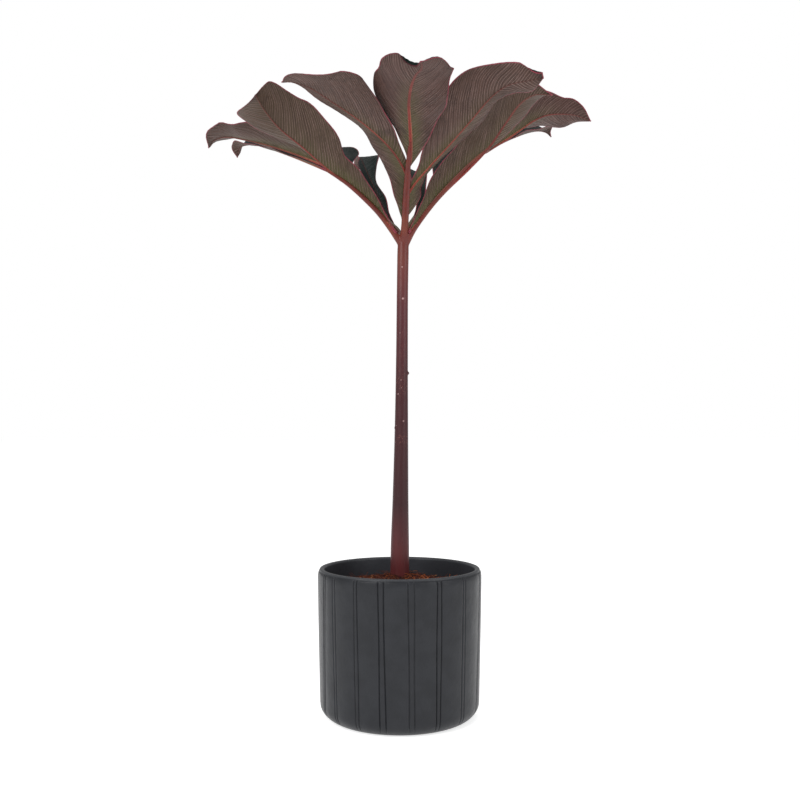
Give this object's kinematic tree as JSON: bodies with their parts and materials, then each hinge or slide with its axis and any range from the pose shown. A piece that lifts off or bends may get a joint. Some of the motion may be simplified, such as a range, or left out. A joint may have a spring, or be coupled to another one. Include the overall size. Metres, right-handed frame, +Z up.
{
  "type": "potted amorphophallus atroviridis",
  "caption": "House plant with one umbrella-like divided leaf on a tall upright stalk, in a round pot with irregular upright folds, filled with soil.",
  "frame": {"origin": "centre of the pot's underside, where it stands", "axes": "+Z up along the stalk, -Y to the front, where the picture's camera stands"},
  "size_m": [0.3326, 0.3125, 0.5384],
  "materials": {
    "pot": "satin",
    "soil": "matte",
    "tuber": "dull brown skin",
    "stalk": "smooth satin, brick red to purple-brown with pale spots",
    "leaflet": "semi-gloss dark green above, maroon-brown with fine pale veins below"
  },
  "bodies": {
    "root": {"pot": "pot", "soil": "soil", "tuber": "tuber", "leaf_stalk": "stalk", "leaflet_front_left": "leaflet", "leaflet_front_middle": "leaflet", "leaflet_front_right": "leaflet", "leaflet_left_front": "leaflet", "leaflet_left_middle": "leaflet", "leaflet_left_back": "leaflet", "leaflet_right_front": "leaflet", "leaflet_right_middle": "leaflet", "leaflet_right_back": "leaflet", "leaflet_back_left_inner": "leaflet", "leaflet_back_left_outer": "leaflet", "leaflet_back_right_outer": "leaflet", "leaflet_back_right_inner": "leaflet"}
  },
  "joints": []
}
